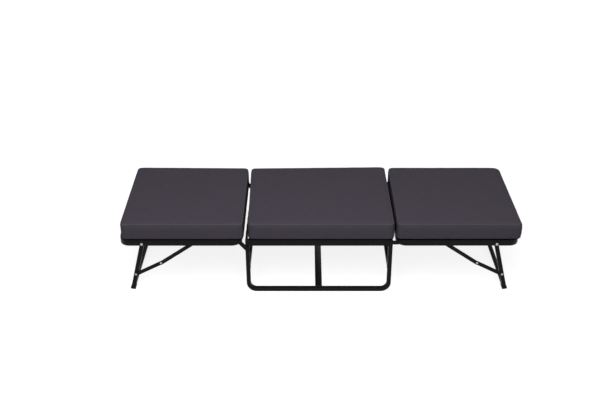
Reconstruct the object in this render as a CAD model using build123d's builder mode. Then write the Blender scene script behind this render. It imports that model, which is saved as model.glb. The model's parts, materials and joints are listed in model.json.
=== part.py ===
"""A folding bed in three sections: a fixed stool in the middle and two hinged sections with folding legs.

X runs along the bed, Y across it with the front at minus Y, and Z up from the floor. The origin is on the
floor under the middle of the stool. Every size is in millimetres. The right-hand section is modelled and
mirrored to the left, and the front fittings are mirrored to the rear.
"""

import os
from math import atan2, cos, degrees, hypot, radians, sin, sqrt

from build123d import *

# Driving sizes of the whole bed
bed_depth = 600.0
middle_length = 704.0
section_length = 586.0
section_gap = 17.0
deck_height = 292.0
side_clearance = 0.5
running_clearance = 0.05
overrun = 1.0

# Seat rails and ring rails: flat rectangular steel tube
rail_height = 30.0
rail_thick = 10.0
rail_wall = 1.5
ring_corner_radius = 50.0

# Square tube of the stool and of the folding legs
tube = 20.0
tube_wall = 1.5
runner_bend_radius = 50.0
stretcher_top = 143.0
floor_bar_width = 33.5
floor_bar_thick = 6.0
floor_bar_bottom = 7.0

# Slats of flat steel tube along the bed
slat_width = 30.0
slat_thick = 5.0
slat_wall = 1.0
slat_count = 8
slat_margin = 55.0

# Cushions
cushion_reveal = 1.0
middle_cushion_reveal = 0.5
cushion_inner_overhang = 7.5
cushion_outer_overhang = 2.0
cushion_thick = 83.5
cushion_crown = 3.5
cushion_lift = 0.3
cushion_corner_radius = 26.0
cushion_side_bulge = 3.5
cushion_edge_inset = 18.0
crown_ring_inset = 150.0

# Hinges between the stool and the sections
hinge_from_ring_end = 7.0
hinge_below_deck = 10.0
hinge_plate_thick = 5.0
hinge_plate_width = 20.0
hinge_ear_thick = 4.0
hinge_bolt_radius = 4.0
hinge_arm_run = 36.0
hinge_arm_drop = 42.0
hinge_arm_overlap = 16.0

# Folding legs
leg_pivot_from_end = 108.0
leg_pivot_above_rail_bottom = 8.0
leg_splay = 14.4
leg_top_reach = 12.0
leg_fold_stop = 2.2
leg_corner_radius = 3.0
leg_bolt_radius = 4.0
glide_sole = 1.4
glide_wall = 2.5
glide_length = 34.0
cap_flange = 2.0
cap_plug_length = 9.0
cap_fit = 0.1

# Locking stays
stay_gap = 8.0
stay_width = 19.5
stay_thick = 2.5
stay_upper_length = 219.0
stay_lower_length = 144.6
stay_leg_reach = 187.0
stay_rail_from_leg_pivot = 262.0
stay_rail_below_deck = 12.0
stay_rivet_radius = 2.5
stay_shoulder_radius = 6.0
stay_shoulder_length = 2.2
stay_side_play = 0.1
stay_layer_gap = 0.3
stay_leg_bolt_radius = 3.0

# Heads and nuts
bolt_head_radius = 7.0
bolt_head_thick = 3.5
nut_radius = 6.5
nut_thick = 5.0
nut_play = 0.3
low_head_radius = 5.5
low_head_thick = 1.8
rivet_head_thick = 1.6
rivet_tail_thick = 1.5
rivet_tail_radius = 4.0
head_edge = 0.6
spacer_radius = 8.0

# Places worked out from the sizes
rail_bottom = deck_height - rail_height
ring_inner_end = middle_length / 2 + section_gap
ring_outer_end = ring_inner_end + section_length
ring_centre = (ring_inner_end + ring_outer_end) / 2
section_depth = bed_depth - 2 * side_clearance
slat_field_depth = bed_depth - 2 * slat_margin
cushion_depth = bed_depth - 2 * cushion_reveal
middle_cushion_length = middle_length - 2 * middle_cushion_reveal
section_cushion_start = ring_inner_end - cushion_inner_overhang
section_cushion_end = ring_outer_end + cushion_outer_overhang
section_cushion_length = section_cushion_end - section_cushion_start
stool_front = -bed_depth / 2
ring_front = -section_depth / 2
rail_inner_face = ring_front + rail_thick
hinge_x = ring_inner_end + hinge_from_ring_end
hinge_z = deck_height - hinge_below_deck
leg_pivot_x = ring_outer_end - leg_pivot_from_end
leg_pivot_z = rail_bottom + leg_pivot_above_rail_bottom
leg_front = rail_inner_face + stay_gap
splay = radians(leg_splay)
floor_tube_z = tube / 2 * (cos(splay) + sin(splay)) + glide_sole
leg_length = (leg_pivot_z - floor_tube_z) / cos(splay)
foot_x = leg_pivot_x + leg_length * sin(splay)
stay_rail_x = leg_pivot_x - stay_rail_from_leg_pivot
stay_rail_z = deck_height - stay_rail_below_deck
stay_leg_x = leg_pivot_x + stay_leg_reach * sin(splay)
stay_leg_z = leg_pivot_z - stay_leg_reach * cos(splay)
upper_layer = rail_inner_face + stay_shoulder_length + stay_side_play
lower_layer = upper_layer + stay_thick + stay_layer_gap
leg_plane = Plane(
    origin=(leg_pivot_x, 0, leg_pivot_z), x_dir=(0, 1, 0), z_dir=(-cos(splay), 0, -sin(splay))
)


def rivet_between(start_x, start_z, end_x, end_z, above):
    """Where the two stay links meet, from the places of their outer ends."""
    span = hypot(end_x - start_x, end_z - start_z)
    along = (stay_upper_length**2 - stay_lower_length**2 + span**2) / (2 * span)
    side = sqrt(stay_upper_length**2 - along**2)
    if not above:
        side = -side
    ux, uz = (end_x - start_x) / span, (end_z - start_z) / span
    return start_x + along * ux - side * uz, start_z + along * uz + side * ux


rivet_x, rivet_z = rivet_between(stay_rail_x, stay_rail_z, stay_leg_x, stay_leg_z, False)
upper_angle = degrees(atan2(rivet_z - stay_rail_z, rivet_x - stay_rail_x))
lower_angle = degrees(atan2(rivet_z - stay_leg_z, rivet_x - stay_leg_x))

# The folded places, which give the travel of each joint
folded_leg_x = leg_pivot_x - stay_leg_reach * cos(radians(leg_fold_stop))
folded_leg_z = leg_pivot_z - stay_leg_reach * sin(radians(leg_fold_stop))
folded_rivet_x, folded_rivet_z = rivet_between(stay_rail_x, stay_rail_z, folded_leg_x, folded_leg_z, True)
leg_travel = 90 + leg_splay - leg_fold_stop
upper_travel = degrees(atan2(folded_rivet_z - stay_rail_z, folded_rivet_x - stay_rail_x)) - upper_angle
lower_end_angle = degrees(atan2(folded_rivet_z - folded_leg_z, folded_rivet_x - folded_leg_x))
lower_travel = lower_angle - lower_end_angle - leg_travel

os.makedirs("parts", exist_ok=True)


def save(piece, name):
    piece.label = name
    export_step(piece, f"parts/{name}.step")


def save_right_and_left(piece, name):
    """The right-hand piece and its mirror image on the left."""
    with BuildPart() as other:
        mirror(piece, about=Plane.YZ)
    save(piece, f"right_{name}")
    save(other.part, f"left_{name}")


def rear_of(piece):
    """The mirror image of a front piece at the rear."""
    with BuildPart() as rear:
        mirror(piece, about=Plane.XZ)
    return rear.part


def front_and_rear(piece):
    """A front piece and its mirror image at the rear, as one group."""
    with BuildPart() as pair:
        add(piece)
        mirror(piece, about=Plane.XZ)
    return pair.part


def plane_at(y):
    """The upright plane at a depth: X to the right, Z up. An extrusion by a minus amount goes back."""
    return Plane.XZ.offset(-y)


def turned(x, z, front, steps):
    """A round piece along Y from its front end, turned to (length, radius) steps one after another."""
    with BuildPart() as piece:
        y = front
        for length, radius in steps:
            with BuildSketch(plane_at(y)):
                with Locations((x, z)):
                    Circle(radius)
            extrude(amount=-length)
            y += length
        fillet(piece.edges().filter_by(GeomType.CIRCLE).sort_by(Axis.Y)[0], head_edge)
    return piece.part


# Stool

def u_band(width, height, radius, inset):
    """An upright U of square tube, its feet turned up; inset draws the hollow inside its wall."""
    with BuildSketch() as band:
        with Locations((0, height / 2)):
            Rectangle(width - 2 * inset, height - 2 * inset)
        fillet(band.vertices().group_by(Axis.Y)[0], radius - inset)
        inner = tube - inset
        with Locations((0, (height + inner) / 2)):
            Rectangle(width - 2 * inner, height - inner, mode=Mode.SUBTRACT)
        if radius > tube:
            corners = band.vertices().filter_by_position(Axis.Y, inner - head_edge, inner + head_edge)
            fillet(corners, radius - inner)
    return band.sketch


with BuildPart() as front_base_loop:
    with BuildSketch(plane_at(stool_front)):
        add(u_band(middle_length, deck_height, runner_bend_radius, 0))
    extrude(amount=-tube)
    with BuildSketch(plane_at(stool_front + tube_wall)):
        add(u_band(middle_length, deck_height, runner_bend_radius, tube_wall))
    extrude(amount=-(tube - 2 * tube_wall), mode=Mode.SUBTRACT)
save(front_base_loop.part, "front_base_loop")
save(rear_of(front_base_loop.part), "rear_base_loop")


def straight_tube(plane, width, height, wall, length):
    """A straight rectangular tube with open ends, centred on a plane and reaching both ways."""
    with BuildPart() as piece:
        with BuildSketch(plane):
            Rectangle(width, height)
            Rectangle(width - 2 * wall, height - 2 * wall, mode=Mode.SUBTRACT)
        extrude(amount=length / 2, both=True)
    return piece.part


# The front and rear rails are welded between the legs, the side rails between the two loops
rail_middle = deck_height - rail_height / 2
seat_run = middle_length - 2 * tube
front_rail_plane = Plane(
    origin=(0, stool_front + rail_thick / 2, rail_middle), x_dir=(0, 1, 0), z_dir=(1, 0, 0)
)
front_seat_rail = straight_tube(front_rail_plane, rail_thick, rail_height, rail_wall, seat_run)
save(front_seat_rail, "front_seat_rail")
save(rear_of(front_seat_rail), "rear_seat_rail")

side_run = bed_depth - 2 * tube
side_rail_plane = Plane(
    origin=((middle_length - rail_thick) / 2, 0, rail_middle), x_dir=(1, 0, 0), z_dir=(0, -1, 0)
)
side_rail = straight_tube(side_rail_plane, rail_thick, rail_height, rail_wall, side_run)
save_right_and_left(side_rail, "side_rail")

stretcher_plane = Plane(
    origin=((middle_length - tube) / 2, 0, stretcher_top - tube / 2), x_dir=(1, 0, 0), z_dir=(0, -1, 0)
)
save_right_and_left(straight_tube(stretcher_plane, tube, tube, tube_wall, side_run), "stretcher")

with BuildPart() as floor_bar:
    with BuildSketch(plane_at(stool_front + tube)):
        with Locations((0, floor_bar_bottom + floor_bar_thick / 2)):
            Rectangle(floor_bar_width, floor_bar_thick)
    extrude(amount=-side_run)
save(floor_bar.part, "floor_bar")


def slats(length, x_centre):
    """A field of flat slats along X, open-ended flat tube, lying on the end rails."""
    pitch = (slat_field_depth - slat_width) / (slat_count - 1)
    slat_middle = deck_height + slat_thick / 2
    slat_plane = Plane(origin=(x_centre, 0, slat_middle), x_dir=(0, 1, 0), z_dir=(1, 0, 0))
    with BuildPart() as field:
        with BuildSketch(slat_plane):
            with GridLocations(pitch, 0, slat_count, 1):
                Rectangle(slat_width, slat_thick)
                Rectangle(slat_width - 2 * slat_wall, slat_thick - 2 * slat_wall, mode=Mode.SUBTRACT)
        extrude(amount=length / 2, both=True)
    return field.part


save(slats(middle_length, 0), "middle_slats")


# Cushions: stacked outlines from the flat base, round the boxed side, to the crowned top.
# Heights are shares of the thickness, insets are shares of the edge inset.
side_height_shares = (0.0, 0.07, 0.22, 0.5, 0.79, 0.9, 0.97, 1.0)
side_inset_shares = (0.5, 0.15, 0.03, 0.0, 0.02, 0.18, 0.5, 1.0)
crown_height_shares = (0.45, 0.8, 1.0)
crown_inset_shares = (0.16, 0.48, 1.0)


def cushion_outline(length, inset):
    """A rounded rectangle whose sides bulge a little between the corners."""
    reach_x = length / 2 - inset - cushion_side_bulge
    reach_y = cushion_depth / 2 - inset - cushion_side_bulge
    run_x = reach_x - cushion_corner_radius
    run_y = reach_y - cushion_corner_radius
    bend = cushion_corner_radius * cos(radians(45))
    with BuildLine() as outline:
        for sx, sy in ((1, -1), (1, 1), (-1, 1), (-1, -1)):
            ends = ((sx * run_x, sy * reach_y), (sx * reach_x, sy * run_y))
            if sx != sy:
                first, last = ends
            else:
                last, first = ends
            ThreePointArc(first, (sx * (run_x + bend), sy * (run_y + bend)), last)
            if sx != sy:
                ThreePointArc(last, (sx * (reach_x + cushion_side_bulge), 0), (last[0], -last[1]))
            else:
                ThreePointArc(last, (0, sy * (reach_y + cushion_side_bulge)), (-last[0], last[1]))
    return outline.line


def cushion(length, x_centre):
    bottom = deck_height + slat_thick + cushion_lift
    levels = [
        (bottom + height * cushion_thick, inset * cushion_edge_inset)
        for height, inset in zip(side_height_shares, side_inset_shares)
    ]
    top_inset = levels[-1][1]
    levels += [
        (bottom + cushion_thick + height * cushion_crown, top_inset + inset * crown_ring_inset)
        for height, inset in zip(crown_height_shares, crown_inset_shares)
    ]
    with BuildPart() as pad:
        for height, inset in levels:
            with BuildSketch(Plane((x_centre, 0, height))):
                with BuildLine():
                    add(cushion_outline(length, inset))
                make_face()
        loft(ruled=True)
    return pad.part


save(cushion(middle_cushion_length, 0), "middle_cushion")


# Hinges

def hinge_plate(pivot_x, pivot_z, root_x, root_z):
    """A flat hinge plate outside the front of the stool leg, with the hole for the hinge bolt."""
    run = hypot(root_x - pivot_x, root_z - pivot_z)
    turn = degrees(atan2(root_z - pivot_z, root_x - pivot_x))
    with BuildPart() as plate:
        with BuildSketch(plane_at(stool_front - hinge_plate_thick)):
            with Locations(((pivot_x + root_x) / 2, (pivot_z + root_z) / 2)):
                SlotCenterToCenter(run, hinge_plate_width, rotation=turn)
            with Locations((pivot_x, pivot_z)):
                Circle(hinge_bolt_radius + running_clearance, mode=Mode.SUBTRACT)
        extrude(amount=-hinge_plate_thick)
    return plate.part


# On the left the plates slope down to the leg; on the right they lie level with the top of the leg
left_plate = hinge_plate(-hinge_x, hinge_z, -hinge_x + hinge_arm_run, hinge_z - hinge_arm_drop)
save(left_plate, "left_front_hinge_plate")
save(rear_of(left_plate), "left_rear_hinge_plate")
right_root_x = middle_length / 2 - hinge_arm_overlap + hinge_plate_width / 2
right_plate = hinge_plate(hinge_x, hinge_z, right_root_x, hinge_z)
save(right_plate, "right_front_hinge_plate")
save(rear_of(right_plate), "right_rear_hinge_plate")

hinge_bolt = turned(
    hinge_x,
    hinge_z,
    stool_front - hinge_plate_thick - bolt_head_thick,
    (
        (bolt_head_thick, bolt_head_radius),
        (hinge_plate_thick + side_clearance + hinge_ear_thick + nut_play, hinge_bolt_radius),
        (nut_thick, nut_radius),
    ),
)
save_right_and_left(front_and_rear(hinge_bolt), "hinge_bolts")


# Ring frame of a section

def ring_band(inset):
    """The bent rail seen from above; inset draws the hollow inside its wall."""
    with BuildSketch() as band:
        with Locations((ring_centre, 0)):
            RectangleRounded(
                section_length - 2 * inset, section_depth - 2 * inset, ring_corner_radius - inset
            )
            inner = rail_thick - inset
            RectangleRounded(
                section_length - 2 * inner,
                section_depth - 2 * inner,
                ring_corner_radius - inner,
                mode=Mode.SUBTRACT,
            )
    return band.sketch


ear_end_x = ring_inner_end + ring_corner_radius
with BuildPart() as ear:
    with BuildSketch(plane_at(ring_front)):
        with Locations((hinge_x, hinge_z)):
            Circle(hinge_plate_width / 2)
        with Locations(((hinge_x + ear_end_x) / 2, hinge_z)):
            Rectangle(ear_end_x - hinge_x, hinge_plate_width)
        with Locations((hinge_x, hinge_z)):
            Circle(hinge_bolt_radius + running_clearance, mode=Mode.SUBTRACT)
    extrude(amount=-hinge_ear_thick)

with BuildPart() as ring_frame:
    with BuildSketch(Plane.XY.offset(rail_bottom)):
        add(ring_band(0))
    extrude(amount=rail_height)
    with BuildSketch(Plane.XY.offset(rail_bottom + rail_wall)):
        add(ring_band(rail_wall))
    extrude(amount=rail_height - 2 * rail_wall, mode=Mode.SUBTRACT)
    add(front_and_rear(ear.part))
    with BuildSketch(plane_at(ring_front - overrun)):
        with Locations((leg_pivot_x, leg_pivot_z)):
            Circle(leg_bolt_radius + running_clearance)
    extrude(amount=-(section_depth + 2 * overrun), mode=Mode.SUBTRACT)
    with BuildSketch(plane_at(rail_inner_face - rail_wall - overrun)):
        with Locations((stay_rail_x, stay_rail_z)):
            Circle(stay_rivet_radius + running_clearance)
    rivet_run = 2 * (overrun + rail_wall - rail_inner_face)
    extrude(amount=-rivet_run, mode=Mode.SUBTRACT)
save_right_and_left(ring_frame.part, "ring_frame")
save_right_and_left(slats(section_length, ring_centre), "slats")
save_right_and_left(
    cushion(section_cushion_length, section_cushion_start + section_cushion_length / 2), "cushion"
)


# Folding leg frame, drawn on the plane of the leg: local X across the bed, local Y down the leg

leg_frame_width = -2 * leg_front
leg_reach = leg_length + tube / 2


def leg_band(inset):
    """The leg frame, two legs and a floor tube with welded corners."""
    with BuildSketch() as band:
        with Locations((0, (leg_reach - leg_top_reach) / 2)):
            Rectangle(leg_frame_width - 2 * inset, leg_reach + leg_top_reach - 2 * inset)
        fillet(band.vertices().group_by(Axis.Y)[-1], leg_corner_radius - inset)
        inner = tube - inset
        with Locations((0, (leg_reach - leg_top_reach - inner) / 2)):
            Rectangle(leg_frame_width - 2 * inner, leg_reach + leg_top_reach - inner, mode=Mode.SUBTRACT)
    return band.sketch


with BuildPart() as leg_frame:
    with BuildSketch(leg_plane):
        add(leg_band(0))
    extrude(amount=tube / 2, both=True)
    with BuildSketch(leg_plane):
        add(leg_band(tube_wall))
    extrude(amount=tube / 2 - tube_wall, both=True, mode=Mode.SUBTRACT)
    # The tops of the tubes are open, for the caps
    with BuildSketch(leg_plane):
        with Locations((0, tube_wall / 2 - leg_top_reach)):
            with GridLocations(leg_frame_width - tube, 0, 2, 1):
                Rectangle(tube - 2 * tube_wall, tube_wall)
    extrude(amount=tube / 2 - tube_wall, both=True, mode=Mode.SUBTRACT)
    with BuildSketch(plane_at(leg_front - overrun)):
        with Locations((leg_pivot_x, leg_pivot_z)):
            Circle(leg_bolt_radius + running_clearance)
        with Locations((stay_leg_x, stay_leg_z)):
            Circle(stay_leg_bolt_radius + running_clearance)
    extrude(amount=-(leg_frame_width + 2 * overrun), mode=Mode.SUBTRACT)
save_right_and_left(leg_frame.part, "leg_frame")

with BuildPart() as leg_caps:
    plug = tube - 2 * tube_wall - 2 * cap_fit
    with BuildSketch(leg_plane):
        with Locations((0, -leg_top_reach - cap_flange / 2)):
            with GridLocations(leg_frame_width - tube, 0, 2, 1):
                Rectangle(tube, cap_flange)
    extrude(amount=tube / 2, both=True)
    # The plug stops short of the pivot bolt
    plug_length = min(cap_plug_length, leg_top_reach - leg_bolt_radius - overrun)
    with BuildSketch(leg_plane):
        with Locations((0, plug_length / 2 - leg_top_reach)):
            with GridLocations(leg_frame_width - tube, 0, 2, 1):
                Rectangle(plug, plug_length)
    extrude(amount=plug / 2, both=True)
save_right_and_left(leg_caps.part, "leg_caps")

# Plastic glides clipped under the floor tube, cut flat where they stand on the floor
with BuildPart() as floor_glide:
    glide_side = tube + 2 * glide_wall
    glide_bore = tube + 2 * running_clearance
    with BuildSketch(plane_at(leg_front)):
        with Locations((foot_x, floor_tube_z)):
            Rectangle(glide_side, glide_side, rotation=leg_splay)
            Rectangle(glide_bore, glide_bore, rotation=leg_splay, mode=Mode.SUBTRACT)
        with Locations((foot_x, floor_tube_z / 2)):
            Rectangle(2 * glide_side, floor_tube_z, mode=Mode.INTERSECT)
    extrude(amount=-glide_length)
save_right_and_left(front_and_rear(floor_glide.part), "floor_glides")

leg_bolt = turned(
    leg_pivot_x,
    leg_pivot_z,
    ring_front - bolt_head_thick,
    (
        (bolt_head_thick, bolt_head_radius),
        (rail_thick + stay_gap + tube + nut_play, leg_bolt_radius),
        (nut_thick, nut_radius),
    ),
)
save_right_and_left(front_and_rear(leg_bolt), "leg_pivot_bolts")

with BuildPart() as leg_spacer:
    with BuildSketch(plane_at(rail_inner_face)):
        with Locations((leg_pivot_x, leg_pivot_z)):
            Circle(spacer_radius)
            Circle(leg_bolt_radius + running_clearance, mode=Mode.SUBTRACT)
    extrude(amount=-(stay_gap - nut_play))
save_right_and_left(front_and_rear(leg_spacer.part), "leg_spacers")


# Locking stays

def stay_link(start_x, start_z, angle, length, layer, start_hole, end_hole):
    """A flat bar with rounded ends and a hole at each end, from one pivot at an angle."""
    end_x = start_x + length * cos(radians(angle))
    end_z = start_z + length * sin(radians(angle))
    with BuildPart() as link:
        with BuildSketch(plane_at(layer)):
            with Locations(((start_x + end_x) / 2, (start_z + end_z) / 2)):
                SlotCenterToCenter(length, stay_width, rotation=angle)
            with Locations((start_x, start_z)):
                Circle(start_hole + running_clearance, mode=Mode.SUBTRACT)
            with Locations((end_x, end_z)):
                Circle(end_hole + running_clearance, mode=Mode.SUBTRACT)
        extrude(amount=-stay_thick)
    return link.part


stay_upper = stay_link(
    stay_rail_x,
    stay_rail_z,
    upper_angle,
    stay_upper_length,
    upper_layer,
    stay_rivet_radius,
    stay_rivet_radius,
)
save_right_and_left(stay_upper, "front_stay_upper")
save_right_and_left(rear_of(stay_upper), "rear_stay_upper")

stay_lower = stay_link(
    stay_leg_x,
    stay_leg_z,
    lower_angle,
    stay_lower_length,
    lower_layer,
    stay_leg_bolt_radius,
    stay_rivet_radius,
)
save_right_and_left(stay_lower, "front_stay_lower")
save_right_and_left(rear_of(stay_lower), "rear_stay_lower")

# The rivet that holds the upper link to the rail has its tail inside the hollow rail
rail_rivet = turned(
    stay_rail_x,
    stay_rail_z,
    rail_inner_face - rail_wall - rivet_tail_thick,
    (
        (rivet_tail_thick, rivet_tail_radius),
        (rail_wall, stay_rivet_radius),
        (stay_shoulder_length, stay_shoulder_radius),
        (stay_thick + 2 * stay_side_play, stay_rivet_radius),
        (rivet_head_thick, low_head_radius),
    ),
)
save_right_and_left(front_and_rear(rail_rivet), "stay_rail_rivets")

# The bolt that holds the lower link to the leg
stay_leg_bolt = turned(
    stay_leg_x,
    stay_leg_z,
    lower_layer - stay_side_play - low_head_thick,
    (
        (low_head_thick, low_head_radius),
        (leg_front + tube - lower_layer + stay_side_play, stay_leg_bolt_radius),
        (nut_thick, nut_radius),
    ),
)
save_right_and_left(front_and_rear(stay_leg_bolt), "stay_leg_bolts")

# The rivet between the links: its head goes with the upper link, its flush tail with the lower
rivet_head = turned(
    rivet_x,
    rivet_z,
    upper_layer - rivet_head_thick,
    (
        (rivet_head_thick, low_head_radius),
        (stay_thick, stay_rivet_radius),
    ),
)
save_right_and_left(front_and_rear(rivet_head), "stay_rivet_heads")

with BuildPart() as rivet_tail:
    with BuildSketch(plane_at(lower_layer)):
        with Locations((rivet_x, rivet_z)):
            Circle(stay_rivet_radius)
    extrude(amount=-stay_thick)
save_right_and_left(front_and_rear(rivet_tail.part), "stay_rivet_tails")

print("hinge axis", round(hinge_x, 3), round(hinge_z, 3))
print("leg pivot", round(leg_pivot_x, 3), round(leg_pivot_z, 3), "travel", round(leg_travel, 3))
print("foot", round(foot_x, 3), round(floor_tube_z, 3))
print("stay on rail", round(stay_rail_x, 3), round(stay_rail_z, 3), "travel", round(upper_travel, 3))
print("stay on leg", round(stay_leg_x, 3), round(stay_leg_z, 3), "travel", round(lower_travel, 3))
print("rivet", round(rivet_x, 3), round(rivet_z, 3))
print("rivet when folded", round(folded_rivet_x, 3), round(folded_rivet_z, 3))
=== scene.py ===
"""A folding bed: a stool in the middle, a hinged section at each end on folding legs, and boxed cushions.

X runs along the bed, Y across it with the front at minus Y, and Z up from the floor, in metres.
"""

import json
from collections import namedtuple
from math import cos, pi, radians, sin, sqrt

import bmesh
import bpy
from mathutils import Matrix, Vector, noise
from mathutils.bvhtree import BVHTree


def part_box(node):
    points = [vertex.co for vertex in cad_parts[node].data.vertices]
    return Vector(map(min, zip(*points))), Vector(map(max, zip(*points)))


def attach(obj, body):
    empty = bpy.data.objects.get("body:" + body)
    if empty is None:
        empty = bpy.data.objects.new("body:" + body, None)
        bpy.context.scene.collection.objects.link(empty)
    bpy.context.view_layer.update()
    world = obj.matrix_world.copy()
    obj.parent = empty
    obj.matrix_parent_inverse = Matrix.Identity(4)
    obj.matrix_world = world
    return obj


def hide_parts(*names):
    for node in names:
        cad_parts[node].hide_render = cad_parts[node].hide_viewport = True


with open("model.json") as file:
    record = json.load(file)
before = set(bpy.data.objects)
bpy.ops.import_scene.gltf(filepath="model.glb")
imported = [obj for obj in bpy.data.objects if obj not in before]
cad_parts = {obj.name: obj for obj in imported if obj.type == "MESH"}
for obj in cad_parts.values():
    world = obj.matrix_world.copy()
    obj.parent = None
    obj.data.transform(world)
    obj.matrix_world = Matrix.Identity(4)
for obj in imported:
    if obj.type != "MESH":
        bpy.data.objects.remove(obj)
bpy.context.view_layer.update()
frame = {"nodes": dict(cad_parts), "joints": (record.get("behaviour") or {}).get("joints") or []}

# Camera
# It stands in front of the bed and well above it, and looks down on the cushions.
# The turn and the lean are what is left of a camera held by eye.
MM = 0.001
camera_place = Vector((-60.5, -3834.0, 2443.9)) * MM
camera_down = radians(28.672)
camera_turn = radians(0.471)
camera_lean = radians(-0.264)
camera_lens = 52.162

camera_data = bpy.data.cameras.new("camera")
camera_data.lens = camera_lens
camera = bpy.data.objects.new("camera", camera_data)
bpy.context.scene.collection.objects.link(camera)
camera.matrix_world = (
    Matrix.Translation(camera_place)
    @ Matrix.Rotation(camera_turn, 4, "Z")
    @ Matrix.Rotation(pi / 2 - camera_down, 4, "X")
    @ Matrix.Rotation(camera_lean, 4, "Z")
)
bpy.context.scene.camera = camera

# Floor and light
# A white studio: a wide matt floor, a soft light above the front and a weaker one at each side.
# The floor and the sky are lifted to white only where the camera or a gloss looks at them, and the floor
# less so under the bed, where its shadow stays.
floor_size = 60.0
floor_colour = (0.35, 0.35, 0.35, 1)
floor_lift_near = 0.86
floor_lift_far = 1.0
floor_lift_from = 1.3
floor_lift_to = 2.6
sky_light = 0.17
bpy.context.scene.view_settings.view_transform = "Standard"


def link(tree, source, target):
    tree.links.new(source, target)


def set_or_link(tree, socket, value):
    """Gives a socket a plain value or the output of another node."""
    if isinstance(value, (int, float, tuple)):
        socket.default_value = value
    else:
        link(tree, value, socket)


def do_math(tree, operation, first, second=0):
    """A math node on one or two sockets or numbers."""
    step = tree.nodes.new("ShaderNodeMath")
    step.operation = operation
    set_or_link(tree, step.inputs[0], first)
    set_or_link(tree, step.inputs[1], second)
    return step.outputs[0]


def seen_directly(tree):
    """A socket that is 1 for a ray from the camera, from a gloss or through glass."""
    path = tree.nodes.new("ShaderNodeLightPath")
    gloss = do_math(tree, "MAXIMUM", path.outputs["Is Glossy Ray"], path.outputs["Is Transmission Ray"])
    return do_math(tree, "MAXIMUM", path.outputs["Is Camera Ray"], gloss)


floor_paint = bpy.data.materials.new("studio_floor")
floor_paint.use_nodes = True
floor_tree = floor_paint.node_tree
floor_tree.nodes.clear()
matt = floor_tree.nodes.new("ShaderNodeBsdfDiffuse")
matt.inputs["Color"].default_value = floor_colour
glow = floor_tree.nodes.new("ShaderNodeEmission")
floor_place = floor_tree.nodes.new("ShaderNodeTexCoord")
floor_reach = floor_tree.nodes.new("ShaderNodeVectorMath")
floor_reach.operation = "LENGTH"
lift_there = floor_tree.nodes.new("ShaderNodeMapRange")
lift_there.inputs["From Min"].default_value = floor_lift_from
lift_there.inputs["From Max"].default_value = floor_lift_to
lift_there.inputs["To Min"].default_value = floor_lift_near
lift_there.inputs["To Max"].default_value = floor_lift_far
link(floor_tree, floor_place.outputs["Object"], floor_reach.inputs[0])
link(floor_tree, floor_reach.outputs["Value"], lift_there.inputs["Value"])
lift = do_math(floor_tree, "MULTIPLY", seen_directly(floor_tree), lift_there.outputs[0])
link(floor_tree, lift, glow.inputs["Strength"])
both_shaders = floor_tree.nodes.new("ShaderNodeAddShader")
link(floor_tree, matt.outputs[0], both_shaders.inputs[0])
link(floor_tree, glow.outputs[0], both_shaders.inputs[1])
floor_out = floor_tree.nodes.new("ShaderNodeOutputMaterial")
link(floor_tree, both_shaders.outputs[0], floor_out.inputs["Surface"])

floor_mesh = bpy.data.meshes.new("studio_floor")
half = floor_size / 2
floor_corners = [(-half, -half, 0), (half, -half, 0), (half, half, 0), (-half, half, 0)]
floor_mesh.from_pydata(floor_corners, [], [(0, 1, 2, 3)])
floor_mesh.materials.append(floor_paint)
floor = bpy.data.objects.new("studio_floor", floor_mesh)
bpy.context.scene.collection.objects.link(floor)

world = bpy.data.worlds.new("studio")
bpy.context.scene.world = world
world.use_nodes = True
sky_tree = world.node_tree
sky = sky_tree.nodes["Background"]
sky.inputs["Color"].default_value = (1, 1, 1, 1)
sky_mix = sky_tree.nodes.new("ShaderNodeMapRange")
sky_mix.inputs["To Min"].default_value = sky_light
sky_mix.inputs["To Max"].default_value = 1.0
link(sky_tree, seen_directly(sky_tree), sky_mix.inputs["Value"])
link(sky_tree, sky_mix.outputs[0], sky.inputs["Strength"])

soft_lights = (
    ("front_light", (-0.2, -2.4, 3.3), 2.6, 116),
    ("left_light", (-3.6, -0.8, 2.4), 2.0, 9),
    ("right_light", (3.6, -0.8, 2.4), 2.0, 9),
)
for light_name, light_place, light_size, light_power in soft_lights:
    light_data = bpy.data.lights.new(light_name, "AREA")
    light_data.size = light_size
    light_data.energy = light_power
    light = bpy.data.objects.new(light_name, light_data)
    light.location = light_place
    light.rotation_euler = (-Vector(light_place)).to_track_quat("-Z", "Y").to_euler()
    bpy.context.scene.collection.objects.link(light)

# Painted steel of the stool
# Square tube is bent into the front and the rear loop, flat tube is welded between the legs as seat rails,
# and the whole is powder coated near-black with a satin, very faintly pebbled skin.
coat_dark = (0.0042, 0.0042, 0.0045, 1)
coat_light = (0.0072, 0.0072, 0.0078, 1)
coat_roughness = (0.34, 0.47)
coat_gloss = 0.09
coat_pebble = 1.1 * MM
coat_pebble_height = 0.03 * MM
coat_cloud = 45 * MM
noise_low = 0.3
noise_high = 0.7


def noise_of(tree, size, detail=2.0, stretch=(1, 1, 1)):
    """Noise on the piece's own coordinates, with features of about that size."""
    place = tree.nodes.new("ShaderNodeTexCoord")
    turn = tree.nodes.new("ShaderNodeMapping")
    turn.inputs["Scale"].default_value = [share / size for share in stretch]
    pattern = tree.nodes.new("ShaderNodeTexNoise")
    pattern.inputs["Scale"].default_value = 1.0
    pattern.inputs["Detail"].default_value = detail
    link(tree, place.outputs["Object"], turn.inputs["Vector"])
    link(tree, turn.outputs[0], pattern.inputs["Vector"])
    return pattern.outputs[0]


def spread(tree, socket, low, high):
    """The socket's middle range, stretched from low to high."""
    span = tree.nodes.new("ShaderNodeMapRange")
    span.inputs["From Min"].default_value = noise_low
    span.inputs["From Max"].default_value = noise_high
    span.inputs["To Min"].default_value = low
    span.inputs["To Max"].default_value = high
    link(tree, socket, span.inputs["Value"])
    return span.outputs[0]


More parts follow.
